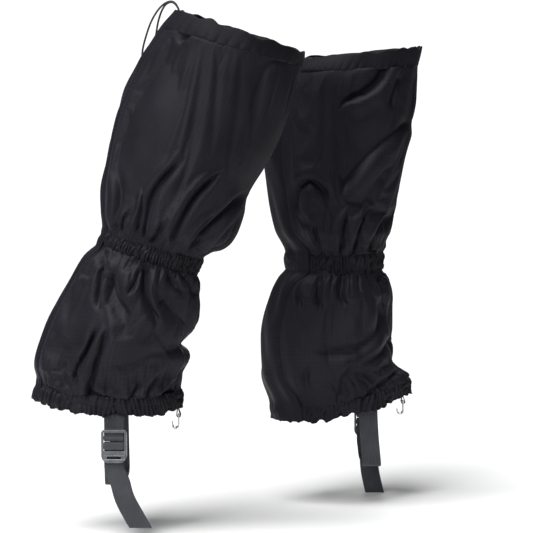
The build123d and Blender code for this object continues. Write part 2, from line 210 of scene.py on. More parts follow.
class Leg:
    """One gaiter's smooth shape.  angle 0 is the front and a quarter turn faces -Y; height is
    measured along the leg's middle line from the cuff's lower edge."""

    def __init__(self, name, centre, stations, lateral, seed):
        self.name = name
        self.centre = np.array(centre) * MM
        self.rows = np.array([(*back, *front, depth) for back, front, depth in stations]) * MM
        middle = (self.rows[:, 0:2] + self.rows[:, 2:4]) / 2
        steps = np.hypot(*np.diff(middle, axis=0).T)
        self.heights = np.concatenate([[0.0], np.cumsum(steps)])
        edges = self.heights[BAND_EDGES]
        self.cuff_top, self.waist_low, self.waist_top, self.hem_low, self.rim = edges
        secants = np.diff(self.rows, axis=0) / steps[:, None]
        product = secants[1:] * secants[:-1]
        total = secants[1:] + secants[:-1]
        inner = np.where(product > 0, 2 * product / np.where(total == 0, 1, total), 0)
        self.slopes = np.vstack([secants[:1], inner, secants[-1:]])
        self.lateral = lateral            # the lateral side's sign along Y
        self.seed = seed

    def section(self, height):
        """Rear x, z, front x, z and half depth at a height, smooth through the stations."""
        height = np.asarray(height, float)
        k = np.clip(np.searchsorted(self.heights, height) - 1, 0, len(self.heights) - 2)
        step = (self.heights[k + 1] - self.heights[k])[..., None]
        t = ((height - self.heights[k])[..., None]) / step
        a, b = self.rows[k], self.rows[k + 1]
        m, n = self.slopes[k] * step, self.slopes[k + 1] * step
        inside = np.clip(t, 0, 1)
        t2, t3 = inside ** 2, inside ** 3
        value = a * (2 * t3 - 3 * t2 + 1) + m * (t3 - 2 * t2 + inside)
        value = value + b * (3 * t2 - 2 * t3) + n * (t3 - t2)
        over = t - inside
        return value + np.where(over > 0, over * n, over * m)

    def point(self, angle, height):
        s = self.section(height)
        middle = (s[..., 0:2] + s[..., 2:4]) / 2
        half = (s[..., 2:4] - s[..., 0:2]) / 2
        turn = np.cos(angle)
        x = middle[..., 0] + turn * half[..., 0]
        z = middle[..., 1] + turn * half[..., 1]
        y = -np.sin(angle) * s[..., 4]
        return np.stack(np.broadcast_arrays(x, y, z), -1) + self.centre

    def normal(self, angle, height):
        e = 0.5 * MM
        along = self.point(angle, height + e) - self.point(angle, height - e)
        around = self.point(angle + 0.01, height) - self.point(angle - 0.01, height)
        n = np.cross(along, around)
        return n / np.linalg.norm(n, axis=-1, keepdims=True)

    def off(self, angle, height, stand):
        """Points that stand off the smooth leg."""
        return self.point(angle, height) + stand[..., None] * self.normal(angle, height)

    def flap_window(self, angle, height, edge=FLAP_FADE):
        """1 under the storm flap at the back, 0 away from it."""
        across = -np.sin(angle) * self.section(height)[..., 4] * self.lateral
        rear = np.cos(angle) < 0
        low = smooth((across + FLAP_EDGES[1] + edge) / edge)
        high = smooth((FLAP_EDGES[0] + edge - across) / edge)
        return low * high * rear


# ---------- folds and gathers
WAVES = 16


def ripples(seed, angle, height, counts, drift=0):
    """Random waves round the leg, about 1 in size: whole counts of them, leaning with height."""
    rng = np.random.default_rng(seed)
    total = 0.0
    for _ in range(WAVES):
        count = rng.integers(counts[0], counts[1] + 1)
        phase = rng.uniform(0, 2 * math.pi)
        lean = rng.normal(0, drift)
        total = total + np.cos(count * angle + phase + lean * height)
    return total / math.sqrt(WAVES / 2)


FINE_GATHER, MIDDLE_GATHER, COARSE_GATHER = 1.1 * MM, 2.5 * MM, 2.8 * MM


def puffs(wave):
    """Rounded puffs with sharp creases between them, from a wave about 1 in size."""
    return np.minimum(np.abs(wave), 2.2) ** 0.75 - 0.8


def near_band(angle, height, away, seed, strength):
    """Gathers beside an elastic band: fine beside it, merging into fewer, wider folds further
    away from it."""
    d = np.maximum(away, 0)
    fine = FINE_GATHER * np.exp(-d / (7 * MM)) * puffs(ripples(seed, angle, height, (30, 52), 110))
    middle = MIDDLE_GATHER * smooth(d / (5 * MM)) * np.exp(-d / (17 * MM))
    middle = middle * puffs(ripples(seed + 1, angle, height, (11, 24), 45))
    coarse = COARSE_GATHER * smooth(d / (14 * MM))
    coarse = coarse * np.exp(-np.maximum(d - 12 * MM, 0) / (34 * MM))
    coarse = coarse * puffs(ripples(seed + 2, angle, height, (4, 9), 14))
    return strength * (fine + middle + coarse)


def between(a, b, c, d, t):
    """A smooth cubic from b to c as t goes from 0 to 1, with a and d beyond them."""
    return 0.5 * (2 * b + (c - a) * t + (2 * a - 5 * b + 4 * c - d) * t * t
                  + (3 * b - a - 3 * c + d) * t ** 3)


def catmull(points, steps=10):
    """A smooth line through a few points."""
    p = np.array(points, float)
    p = np.vstack([2 * p[0] - p[1], p, 2 * p[-1] - p[-2]])
    line = []
    for a, b, c, d in zip(p, p[1:], p[2:], p[3:]):
        line += [between(a, b, c, d, t) for t in np.arange(steps) / steps]
    line.append(p[-2])
    return np.array(line)


VALLEY, RIDGE = 1.45, 0.55          # in shares of a crease's depth
PAST_MIDDLE = 16 * MM               # how far a crease fades out on the leg's other side


def fold(leg, place, side, points, width, deep):
    """Displacement of one listed crease on one side of the leg: a valley along a line of
    side-view points (from the waist's middle, mm), steeper on the line's left, with a ridge
    there and a lower one on its right."""
    line = catmull(points) * MM
    x = (place[..., 0] - leg.centre[0]).ravel()
    z = (place[..., 2] - leg.centre[2]).ravel()
    best = np.full(x.shape, 1e9)
    signed = np.zeros_like(x)
    share = np.zeros_like(x)
    for k, (a, b) in enumerate(zip(line, line[1:])):
        run = b - a
        t = np.clip(((x - a[0]) * run[0] + (z - a[1]) * run[1]) / (run @ run), 0, 1)
        dx, dz = x - a[0] - t * run[0], z - a[1] - t * run[1]
        d = np.hypot(dx, dz)
        near = d < best
        best = np.where(near, d, best)
        signed = np.where(near, np.where(run[0] * dz - run[1] * dx > 0, d, -d), signed)
        share = np.where(near, (k + t) / (len(line) - 1), share)
    ends = smooth(0.4 + share / 0.1) * smooth((1 - share) / 0.3)
    w = width * MM
    steep = np.where(signed > 0, 0.75 * w, 1.25 * w)
    valley = -VALLEY * deep * np.exp(-(np.abs(signed) / steep) ** 1.6)
    ridge = RIDGE * deep * np.exp(-((signed - 2.0 * w) / (1.6 * w)) ** 2)
    other = 0.5 * RIDGE * deep * np.exp(-((signed + 3.0 * w) / (2.2 * w)) ** 2)
    value = ((valley + ridge + other) * ends * MM).reshape(place.shape[:-1])
    y = (place[..., 1] - leg.centre[1]) * side
    return value * smooth((y + PAST_MIDDLE) / PAST_MIDDLE)


# Listed creases: side (-1 faces -Y), side-view points, half width and depth in mm.
RIGHT_CALF_FOLDS = [
    (-1, [(-6, 18), (-4, 36), (1, 60), (10, 75), (24, 88), (36, 97)], 3.2, 5.0),
    (-1, [(21, 14), (28, 31), (37, 49), (46, 62), (62, 76), (80, 86)], 3.2, 5.5),
    (-1, [(42, 6), (52, 20), (69, 37), (84, 54), (98, 68)], 3.0, 5.0),
    (-1, [(50, -1), (61, 8), (78, 28), (90, 45)], 2.6, 3.6),
    (-1, [(38, 12), (50, 27), (66, 44)], 2.4, 3.4),
    (-1, [(-13, 24), (-12, 32), (-9, 52), (-10, 72)], 2.4, 3.2),
    (-1, [(-33, 26), (-33, 36), (-31, 60), (-34, 90)], 2.6, 3.2),
    (-1, [(-29, 24), (-27, 34), (-22, 48)], 2.0, 2.6),
    (-1, [(2, 14), (8, 23), (16, 36)], 2.2, 2.8),
    (-1, [(48, 232), (40, 219), (27, 208)], 3.4, 4.2),
    (-1, [(142, 206), (128, 194), (114, 182), (104, 150), (100, 132)], 5.0, 1.8),
    (-1, [(50, 222), (66, 213), (84, 210), (96, 206)], 1.8, 1.6),
    (1, [(2, 20), (6, 52), (16, 78), (30, 100)], 3.4, 5.0),
    (1, [(30, 10), (44, 30), (62, 56), (84, 82)], 3.0, 5.0),
    (1, [(58, 10), (78, 36), (98, 60)], 3.0, 4.5),
    (1, [(-22, 26), (-20, 56), (-22, 84)], 3.0, 3.8),
]
RIGHT_ANKLE_FOLDS = [
    (-1, [(-43, 0), (-51, -18), (-54, -40), (-53, -54)], 2.6, 4.2),
    (-1, [(-40, -16), (-36, -36), (-28, -48), (-16, -56)], 7.5, 6.5),
    (-1, [(-3, -12), (-4, -32), (-1, -46), (5, -56), (13, -63)], 3.0, 6.0),
    (-1, [(-9, -14), (-14, -28), (-22, -38)], 2.2, 2.8),
    (-1, [(20, -20), (26, -31), (32, -38)], 2.2, 3.2),
    (-1, [(34, -22), (40, -33), (43, -46)], 2.2, 3.0),
    (-1, [(14, -40), (26, -54), (42, -76)], 8.0, 5.5),
    (-1, [(-75, -122), (-71, -108), (-64, -95), (-59, -80), (-50, -64)], 3.4, 4.6),
    (-1, [(-61, -136), (-57, -120), (-51, -99), (-45, -80), (-40, -66)], 3.2, 5.2),
    (-1, [(-96, -118), (-95, -98), (-88, -80)], 7.0, 4.0),
    (-1, [(-84, -130), (-86, -114), (-85, -98)], 4.5, 3.0),
    (-1, [(-57, -131), (-38, -140), (-18, -142), (2, -143), (20, -137), (31, -129)], 3.0, 4.0),
    (-1, [(-24, -143), (-16, -133), (-5, -122)], 2.4, 3.2),
    (-1, [(-4, -138), (2, -126), (12, -114)], 2.4, 3.0),
    (-1, [(6, -146), (16, -134), (28, -126)], 2.4, 3.2),
    (-1, [(48, -88), (30, -93), (12, -98)], 5.5, 3.8),
    (1, [(-30, -6), (-40, -30), (-38, -58)], 3.4, 5.0),
    (1, [(6, -16), (2, -40), (12, -66)], 3.4, 5.0),
    (1, [(-78, -128), (-72, -104), (-62, -78)], 3.6, 4.6),
    (1, [(48, -88), (30, -94), (-6, -100)], 5.5, 3.8),
]
LEFT_CALF_FOLDS = [
    (-1, [(54, 219), (48, 198), (38, 187), (27, 180), (12, 173), (-5, 157)], 5.0, 6.5),
    (-1, [(78, 148), (50, 131), (27, 110), (11, 88), (-1, 70)], 5.5, 5.0),
    (-1, [(-46, 52), (-39, 80), (-26, 88), (-13, 76), (-9, 52)], 4.5, 4.5),
    (-1, [(5, 13), (6, 22), (8, 42), (14, 62)], 2.8, 4.2),
    (-1, [(20, 13), (22, 22), (28, 44), (36, 64)], 2.8, 4.4),
    (-1, [(36, 15), (44, 34), (54, 52)], 2.6, 3.8),
    (-1, [(-20, 14), (-22, 28), (-24, 44)], 2.4, 3.4),
    (-1, [(-38, 14), (-42, 26), (-48, 40)], 2.4, 3.2),
    (-1, [(66, 196), (60, 180), (58, 160)], 4.5, 3.0),
    (1, [(8, 16), (12, 60), (20, 96)], 3.4, 5.0),
    (1, [(32, 14), (42, 44), (56, 76)], 3.0, 4.6),
    (1, [(-24, 14), (-26, 46), (-30, 80)], 3.0, 4.2),
]
LEFT_ANKLE_FOLDS = [
    (-1, [(-38, -15), (-42, -30), (-38, -48)], 3.0, 4.0),
    (-1, [(-16, -16), (-20, -32), (-16, -52)], 3.0, 3.6),
    (-1, [(8, -15), (6, -32), (12, -46)], 3.0, 4.2),
    (-1, [(35, -26), (50, -50), (45, -70), (30, -86), (10, -93), (-14, -95), (-40, -96)], 6.0, 5.0),
    (-1, [(46, -18), (52, -34), (56, -50)], 2.6, 3.4),
    (-1, [(60, -84), (44, -98), (24, -108)], 5.0, 3.6),
    (-1, [(2, -138), (8, -120), (20, -104)], 4.0, 3.0),
    (-1, [(-32, -146), (-34, -124), (-30, -104)], 4.0, 3.0),
    (-1, [(36, -134), (56, -122), (70, -116)], 3.4, 3.4),
    (1, [(-20, -16), (-28, -46), (-22, -76)], 3.4, 4.6),
    (1, [(20, -18), (14, -46), (24, -70)], 3.4, 4.6),
    (1, [(50, -88), (26, -98), (-10, -102)], 4.5, 4.2),
]


STAND_RANGE = (-11 * MM, 6 * MM)    # the furthest a panel goes in and out from the smooth leg


def panel_shape(leg, angle, height, low, high, folds, strength):
    """How far a fabric panel between two bands stands off the smooth leg."""
    seed = leg.seed + int(round(low / MM))
    flat = 1 - leg.flap_window(angle, height, PANEL_FLAP_FADE)
    body = smooth((height - low) / (30 * MM)) * smooth((high - height) / (30 * MM))
    value = 1.3 * MM * body * ripples(seed + 7, angle, height, (2, 6), 22)
    value = value + 0.35 * MM * ripples(seed + 8, angle, height, (7, 17), 60)
    value = value + near_band(angle, height, height - low, seed + 20, strength[0])
    value = value + near_band(angle, height, high - height, seed + 40, strength[1])
    place = leg.point(angle, height)
    for crease in folds:
        value = value + fold(leg, place, *crease)
    return np.clip(value, *STAND_RANGE) * flat


# ---------- meshes from grids
def grid_mesh(name, grid, uv, wrap_rows=False, wrap_cols=True):
    """A quad mesh from a grid of points (rows up the leg, columns round it), with cloth
    coordinates in metres as its UVs."""
    rows, cols = grid.shape[:2]
    r = np.arange(rows if wrap_rows else rows - 1)
    c = np.arange(cols if wrap_cols else cols - 1)
    rr, cc = np.meshgrid(r, c, indexing="ij")
    r1, c1 = (rr + 1) % rows, (cc + 1) % cols
    quads = np.stack([rr * cols + cc, r1 * cols + cc, r1 * cols + c1, rr * cols + c1], -1)
    quads = quads.reshape(-1, 4)
    mesh = bpy.data.meshes.new(name)
    mesh.vertices.add(rows * cols)
    mesh.vertices.foreach_set("co", grid.reshape(-1).astype(np.float32))
    mesh.loops.add(quads.size)
    mesh.loops.foreach_set("vertex_index", quads.reshape(-1).astype(np.int32))
    mesh.polygons.add(len(quads))
    mesh.polygons.foreach_set("loop_start", np.arange(0, quads.size, 4, dtype=np.int32))
    mesh.polygons.foreach_set("use_smooth", np.ones(len(quads), bool))
    corner = [(rr, cc), (rr + 1, cc), (rr + 1, cc + 1), (rr, cc + 1)]
    flat = np.stack([uv[a, b] for a, b in corner], 2).reshape(-1)
    mesh.update(calc_edges=True)
    mesh.uv_layers.new(name="cloth").data.foreach_set("uv", flat.astype(np.float32))
    mesh.validate()
    return link(bpy.data.objects.new(name, mesh))


def cloth_uv(angles, ups, round_leg):
    """Cloth coordinates for a grid, one row and column longer than it so that seams close."""
    around = np.concatenate([angles, [2 * angles[-1] - angles[-2]]]) * round_leg / (2 * math.pi)
    up = np.concatenate([ups, [2 * ups[-1] - ups[-2]]])
    return np.stack(np.meshgrid(up, around, indexing="ij")[::-1], -1)


def thicken(obj, thickness):
    """Gives an open sheet its thickness, inwards."""
    solid = obj.modifiers.new("thickness", "SOLIDIFY")
    solid.thickness = thickness
    solid.offset = -1
    return obj


def angles_round(count):
    return np.arange(count) * 2 * math.pi / count


FABRIC_THICK, FLAP_THICK = 0.5 * MM, 0.6 * MM
PANEL_COLS, ROW_STEP = 400, 1.8 * MM
SETTLE_COLS, SETTLE_ROW = 200, 3.4 * MM
SETTLE_FRAMES = 22
SETTLE_LIMIT = 6.0 * MM             # the furthest that the simulation may move a point
HELD_EDGE = 9 * MM                  # the width over which a band's hold fades
TUCK_DEEP, TUCK_FADE = 0.6 * MM, 3 * MM     # how a panel's edge sinks in under its band
EXTRA_CLOTH = 0.07                  # how much wider than its space the cloth is cut
SLACK_UP_TO, SLACK_FADE = 70 * MM, 60 * MM  # the extra cloth fades to a quarter above this
GIRTH = 0.42                        # the cloth's width round the leg, before it is gathered


def cubic(field, at, axis, wrap):
    """The field at fractional places along one axis, through a smooth cubic."""
    field = np.moveaxis(field, axis, 0)
    count = len(field)
    base = np.floor(at).astype(int)
    t = (at - base).reshape(-1, *[1] * (field.ndim - 1))
    pick = [(base + k) % count if wrap else np.clip(base + k, 0, count - 1) for k in (-1, 0, 1, 2)]
    return np.moveaxis(between(*(field[p] for p in pick), t), 0, axis)


def settle(obj, hold, grow):
    """Cloth simulation of a panel held at its bands.  The fabric is cut wider than the space it
    has, so it buckles into folds.  Returns how far each point moved."""
    start = np.array([v.co for v in obj.data.vertices])
    for group, weights in (("hold", hold), ("grow", grow)):
        vertex_group = obj.vertex_groups.new(name=group)
        for index, weight in enumerate(weights):
            vertex_group.add([index], float(weight), "REPLACE")
    cloth_modifier = obj.modifiers.new("settle", "CLOTH")
    c = cloth_modifier.settings
    c.quality = 6
    c.mass = 0.12
    c.tension_stiffness = 18
    c.compression_stiffness = 18
    c.shear_stiffness = 6
    c.bending_stiffness = 0.25
    c.air_damping = 2
    c.vertex_group_mass = "hold"
    c.pin_stiffness = 1
    c.vertex_group_shrink = "grow"
    c.shrink_min = 0.0
    c.shrink_max = -EXTRA_CLOTH
    c.use_pressure = True
    c.uniform_pressure_force = 0.6
    c.effector_weights.gravity = 0.15
    cloth_modifier.point_cache.frame_end = SETTLE_FRAMES + 1
    scene = bpy.context.scene
    for number in range(1, SETTLE_FRAMES + 1):
        scene.frame_set(number)
    shaped = obj.evaluated_get(bpy.context.evaluated_depsgraph_get()).to_mesh()
    end = np.array([v.co for v in shaped.vertices])
    scene.frame_set(1)
    bpy.data.objects.remove(obj)
    moved = end - start
    size = np.linalg.norm(moved, axis=1, keepdims=True)
    return moved * np.minimum(1, SETTLE_LIMIT / np.maximum(size, 1e-9))


def settled_moves(leg, low, high, folds, strength, angles, heights):
    """How far the cloth simulation moves each point of a panel's grid."""
    coarse_angles = angles_round(SETTLE_COLS)
    coarse_heights = np.linspace(heights[0], heights[-1],
                                 int((heights[-1] - heights[0]) / SETTLE_ROW))
    angle, height = np.meshgrid(coarse_angles, coarse_heights)
    stand = panel_shape(leg, angle, height, low, high, folds, strength)
    grid = leg.off(angle, height, stand)
    trial = grid_mesh("trial", grid, cloth_uv(coarse_angles, coarse_heights, GIRTH))
    inside = smooth((height - low) / HELD_EDGE) * smooth((high - height) / HELD_EDGE)
    flap = leg.flap_window(angle, height, PANEL_FLAP_FADE)
    hold = np.clip(1 - inside + flap, 0, 1)
    slack = 1 - 0.75 * smooth((height - low - SLACK_UP_TO) / SLACK_FADE)
    grow = inside * (1 - flap) * slack
    moved = settle(trial, hold.ravel(), grow.ravel()).reshape(grid.shape)
    moved = cubic(moved, np.linspace(0, len(coarse_heights) - 1, len(heights)), 0, False)
    return cubic(moved, angles / (2 * math.pi) * SETTLE_COLS, 1, True)


def make_panel(leg, name, low, high, folds, strength, tuck):
    """A fabric panel between two bands, tucked a little under each."""
    start, end = low - tuck[0], high + tuck[1]
    angles = angles_round(PANEL_COLS)
    heights = np.linspace(start, end, int((end - start) / ROW_STEP))
    angle, height = np.meshgrid(angles, heights)
    stand = panel_shape(leg, angle, height, low, high, folds, strength)
    under = smooth((low - height) / TUCK_FADE) + smooth((height - high) / TUCK_FADE)
    stand = stand * (1 - np.clip(under, 0, 1)) - TUCK_DEEP * under
    grid = leg.off(angle, height + cuff_dip(angle, height), stand)
    grid = grid + settled_moves(leg, low, high, folds, strength, angles, heights)
    panel = grid_mesh(f"{leg.name}_{name}", grid, cloth_uv(angles, heights, GIRTH))
    thicken(panel, FABRIC_THICK)
    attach(panel, "root")
    return panel


def ring_mesh(leg, name, profile, shape, cols):
    """A closed ring round the leg.  profile lists (height, stand-off) round its cross-section,
    and shape adds a stand-off and a rise to each point."""
    angles = angles_round(cols)
    heights = np.array([p[0] for p in profile])
    stands = np.array([p[1] for p in profile])
    angle, height = np.meshgrid(angles, heights)
    stand = np.repeat(stands[:, None], cols, 1)
    more, rise = shape(angle, height, stand)
    grid = leg.off(angle, height + rise, stand + more)
    lengths = np.hypot(np.diff(heights), np.diff(stands))
    ups = np.concatenate([[0.0], np.cumsum(lengths)])
    ring = grid_mesh(f"{leg.name}_{name}", grid, cloth_uv(angles, ups, GIRTH), wrap_rows=True)
    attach(ring, "root")
    return ring


def band_profile(low, high, proud, inner, count=15):
    """Cross-section of an elasticated casing: a puffed outer face, pinched at its two rows of
    stitching, and a flat inner face."""
    outer = []
    for k in range(count):
        t = k / (count - 1)
        bulge = (1 - abs(2 * t - 1) ** 3.2) ** 0.5
        pinch = sum(share * math.exp(-((t - at) / 0.06) ** 2)
                    for at, share in ((STITCH_ROWS[0], 0.8), (0.5, 0.45), (STITCH_ROWS[1], 0.8)))
        outer.append((low + t * (high - low), proud * (bulge - 0.55 * pinch) - 0.3 * MM))
    inside = [(high + (low - high) * t, inner) for t in (0.04, 0.35, 0.65, 0.96)]
    return outer + inside


CUFF_DIP, CUFF_DIP_REACH = 7.0 * MM, 60 * MM
STITCH_ROWS = (0.14, 0.86)          # a band's two rows of stitching, in shares of its height
BAND_COLS, HEM_COLS = 640, 480
UNDER_FLAP = 0.7                    # the share of a band's gathers that the flap presses flat
FRILL_REACH = 6 * MM
OUTER_FACE = -1.0 * MM              # points of a band's section above this are on its outer face


def cuff_dip(angle, height):
    """The cuff hangs lower at the sides of the boot than at its front and back."""
    reach = CUFF_DIP_REACH
    return -CUFF_DIP * np.sin(angle) ** 2 * smooth((reach - height) / reach)


def gathered_band(leg, name, low, high, profile, seed, ribs, rims, frill=0, hangs=False):
    """An elasticated band.  ribs lists (size in mm, counts, lean) of its fine and wide puffs, and
    rims (size in mm, counts) of its edges' waves.  A frilled band puffs out more at its lower
    edge.  One that hangs has an even upper edge, and dips at its sides."""

    def shape(angle, height, stand):
        fine, wide = (size * puffs(ripples(seed + k, angle, height, counts, lean))
                      for k, (size, counts, lean) in enumerate(ribs))
        uneven, slow = (size * ripples(seed + 2 + k, angle, 0 * height, counts)
                        for k, (size, counts) in enumerate(rims))
        flat = 1 - UNDER_FLAP * leg.flap_window(angle, height)
        puffed = 1 + frill * smooth((FRILL_REACH - height) / FRILL_REACH)
        more = (fine + wide) * puffed * MM * flat * (stand > OUTER_FACE)
        rise = (uneven + slow) * MM
        if hangs:
            rise = rise * smooth((high - height) / (high - low)) + cuff_dip(angle, height)
        return more, rise

    return ring_mesh(leg, name, band_profile(low, high, *profile), shape, BAND_COLS)


def make_waist(leg):
    waist = gathered_band(leg, "waist_gather", leg.waist_low, leg.waist_top,
                          (1.9 * MM, -2.6 * MM), leg.seed + 61,
                          ((1.6, (26, 60), 190), (1.4, (9, 24), 150)),
                          ((0.9, (18, 44)), (0.7, (3, 8))))
    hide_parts(*[f"{leg.name}_waist_{n}" for n in ("casing", "elastic", "lining")])
    return waist


def make_cuff(leg):
    cuff = gathered_band(leg, "cuff_gather", 0.0, leg.cuff_top,
                         (2.1 * MM, -2.4 * MM), leg.seed + 71,
                         ((1.5, (24, 56), 160), (1.7, (8, 20), 120)),
                         ((1.0, (16, 40)), (0.8, (4, 9))), frill=0.8, hangs=True)
    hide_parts(f"{leg.name}_bottom_cuff", f"{leg.name}_bottom_elastic")
    return cuff


def make_hem(leg):
    low, high = leg.hem_low, leg.rim
    profile = []
    for k in range(14):
        t = k / 13
        bulge = max(0.0, math.sin(math.pi * t)) ** 0.8
        profile.append((low + t * (high - low), (0.1 + 0.6 * bulge) * MM))
    profile.append((high + 0.5 * MM, -0.5 * MM))
    profile += [(high + (low - high) * t, -1.8 * MM) for t in (0.03, 0.3, 0.6, 0.97)]

    def shape(angle, height, stand):
        t = (height - low) / (high - low)
        pleat = puffs(ripples(leg.seed + 81, angle, height, (14, 28), 45))
        soft = ripples(leg.seed + 82, angle, height, (4, 9), 18)
        near_stitch = np.exp(-(t / 0.35) ** 2)
        grip = 1 - 0.7 * np.exp(-(t / 0.08) ** 2)
        more = (0.6 * pleat * (0.25 + near_stitch) + 0.8 * soft) * grip * MM
        rim = smooth((t - 0.3) / 0.7)
        rise = 0.9 * MM * ripples(leg.seed + 83, angle, 0 * height, (6, 20)) * rim
        gap = np.exp(-((angle - math.pi) / math.radians(5)) ** 2)
        rise = rise - 5.0 * MM * gap * rim * (leg.name == "right")
        return more, rise

    hem = ring_mesh(leg, "top_casing", profile, shape, HEM_COLS)
    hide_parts(f"{leg.name}_top_hem", f"{leg.name}_hem_drawcord")
    return hem


def make_flap(leg):
    """The storm flap that covers the rear closure, from the cuff to the rim."""
    heights = np.linspace(1.0 * MM, leg.rim - 1.0 * MM, 190)
    depth = leg.section(heights)[:, 4]
    lateral, medial = FLAP_EDGES
    start = math.pi + leg.lateral * np.arcsin(lateral / depth)
    end = math.pi - leg.lateral * np.arcsin(medial / depth)
    if leg.lateral > 0:
        start, end = end, start
    cols = 34
    share = np.linspace(0, 1, cols)
    angle = start[:, None] + (end - start)[:, None] * share
    height = np.repeat(heights[:, None], cols, 1)
    edge = np.minimum(share, 1 - share)
    body = smooth(edge / 0.16)
    lift = 0.35 * np.exp(-((edge - 0.07) / 0.03) ** 2)
    wave = 0.8 * ripples(leg.seed + 91, angle, height, (6, 18), 60)
    bands = 0.0
    for centre in (leg.cuff_top / 2, (leg.waist_low + leg.waist_top) / 2):
        bands = bands + np.exp(-((height - centre) / (14 * MM)) ** 2)
    gather = bands * 1.3 * body * puffs(ripples(leg.seed + 92, angle, height, (22, 48), 130))
    stand = (0.25 + 2.2 * body + lift + wave * body * (1 - 0.5 * bands)) * MM
    stand = stand + (2.1 * np.clip(bands, 0, 1) + gather) * MM
    grid = leg.off(angle, height + cuff_dip(angle, height), stand)
    uv = cloth_uv(share * 2 * math.pi, heights, sum(FLAP_EDGES))
    flap = grid_mesh(f"{leg.name}_flap_cloth", grid, uv, wrap_cols=False)
    thicken(flap, FLAP_THICK)
    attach(flap, "root")
    tapes = [f"{leg.name}_{p}_{t}_tape" for p in ("lower", "upper") for t in ("hook", "loop")]
    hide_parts(f"{leg.name}_storm_flap", *tapes)
    return flap


RIGHT = Leg("right", (0.0, 0.0, 0.0), RIGHT_STATIONS, lateral=-1, seed=1000)
LEFT = Leg("left", (189.3, 175.0, -23.0), LEFT_STATIONS, lateral=1, seed=2000)


def make_gaiter(leg, calf_folds, ankle_folds):
    calf = make_panel(leg, "calf_cloth", leg.waist_top, leg.hem_low, calf_folds,
                      (1.0, 0.15), (4 * MM, 2 * MM))
    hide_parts(f"{leg.name}_calf_panel")
    ankle = make_panel(leg, "ankle_cloth", leg.cuff_top, leg.waist_low, ankle_folds,
                       (1.0, 1.0), (4 * MM, 4 * MM))
    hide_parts(f"{leg.name}_ankle_panel")
    return {"calf": calf, "ankle": ankle, "waist": make_waist(leg), "cuff": make_cuff(leg),
            "hem": make_hem(leg), "flap": make_flap(leg)}


cloth = {leg.name: make_gaiter(leg, calf, ankle) for leg, calf, ankle in (
    (RIGHT, RIGHT_CALF_FOLDS, RIGHT_ANKLE_FOLDS), (LEFT, LEFT_CALF_FOLDS, LEFT_ANKLE_FOLDS))}

# ---------- stitching
STITCH_LONG = 2.6 * MM
STITCH_PITCH = 3.4 * MM
STITCH_RADIUS = 0.28 * MM
EDGE_STITCH = 3 * MM                # from the flap's edge in to its stitching


def surface_tree(objects):
    """One search tree over several pieces' outer faces."""
    verts, faces = [], []
    for obj in objects:
        start = len(verts)
        verts += [v.co.copy() for v in obj.data.vertices]
        faces += [[start + i for i in p.vertices] for p in obj.data.polygons]
    return BVHTree.FromPolygons(verts, faces)


def on_surface(tree, leg, angle, height):
    """The cloth's own surface where the leg has this angle and height, and its normal."""
    base = Vector(leg.point(angle, height))
    out = Vector(leg.normal(angle, height))
    hit, normal, _, _ = tree.ray_cast(base + 0.02 * out, -out)
    if hit is None:
        return base, out
    return hit, normal if normal.dot(out) > 0 else -normal


def stitch_line(places):
    """Evenly spaced stitches along a line of (point, normal) places: centre, direction, normal."""
    points = [p for p, _ in places]
    normals = [n for _, n in places]
    lengths = [0.0]
    for a, b in zip(points, points[1:]):
        lengths.append(lengths[-1] + (b - a).length)
    stitches = []
    k = 0
    for i in range(int(lengths[-1] / STITCH_PITCH)):
        at = (i + 0.5) * STITCH_PITCH
        while lengths[k + 1] < at:
            k += 1
        t = (at - lengths[k]) / max(lengths[k + 1] - lengths[k], 1e-9)
        direction = (points[k + 1] - points[k]).normalized()
        stitches.append((points[k].lerp(points[k + 1], t), direction, normals[k]))
    return stitches


def stitch_mesh(name, stitches):
    """Every stitch is a short rounded thread that lies on the cloth."""
    sides = 6
    shape = [(-0.5, 0.25), (-0.36, 0.95), (0.36, 0.95), (0.5, 0.25)]
    verts, faces = [], []
    for centre, direction, normal in stitches:
        start = len(verts)
        side = direction.cross(normal).normalized()
        up = side.cross(direction).normalized()
        for along, size in shape:
            middle = centre + along * STITCH_LONG * direction + 0.1 * MM * up
            for k in range(sides):
                a = 2 * math.pi * k / sides
                reach = size * STITCH_RADIUS
                verts.append(middle + reach * (math.cos(a) * side + math.sin(a) * up))
        for ring in range(len(shape) - 1):
            for k in range(sides):
                a = start + ring * sides + k
                b = start + ring * sides + (k + 1) % sides
                faces.append((a, b, b + sides, a + sides))
        faces.append(tuple(start + k for k in reversed(range(sides))))
        faces.append(tuple(start + (len(shape) - 1) * sides + k for k in range(sides)))
    mesh = bpy.data.meshes.new(name)
    mesh.from_pydata([tuple(v) for v in verts], [], faces)
    mesh.shade_smooth()
    obj = link(bpy.data.objects.new(name, mesh))
    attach(obj, "root")
    return obj


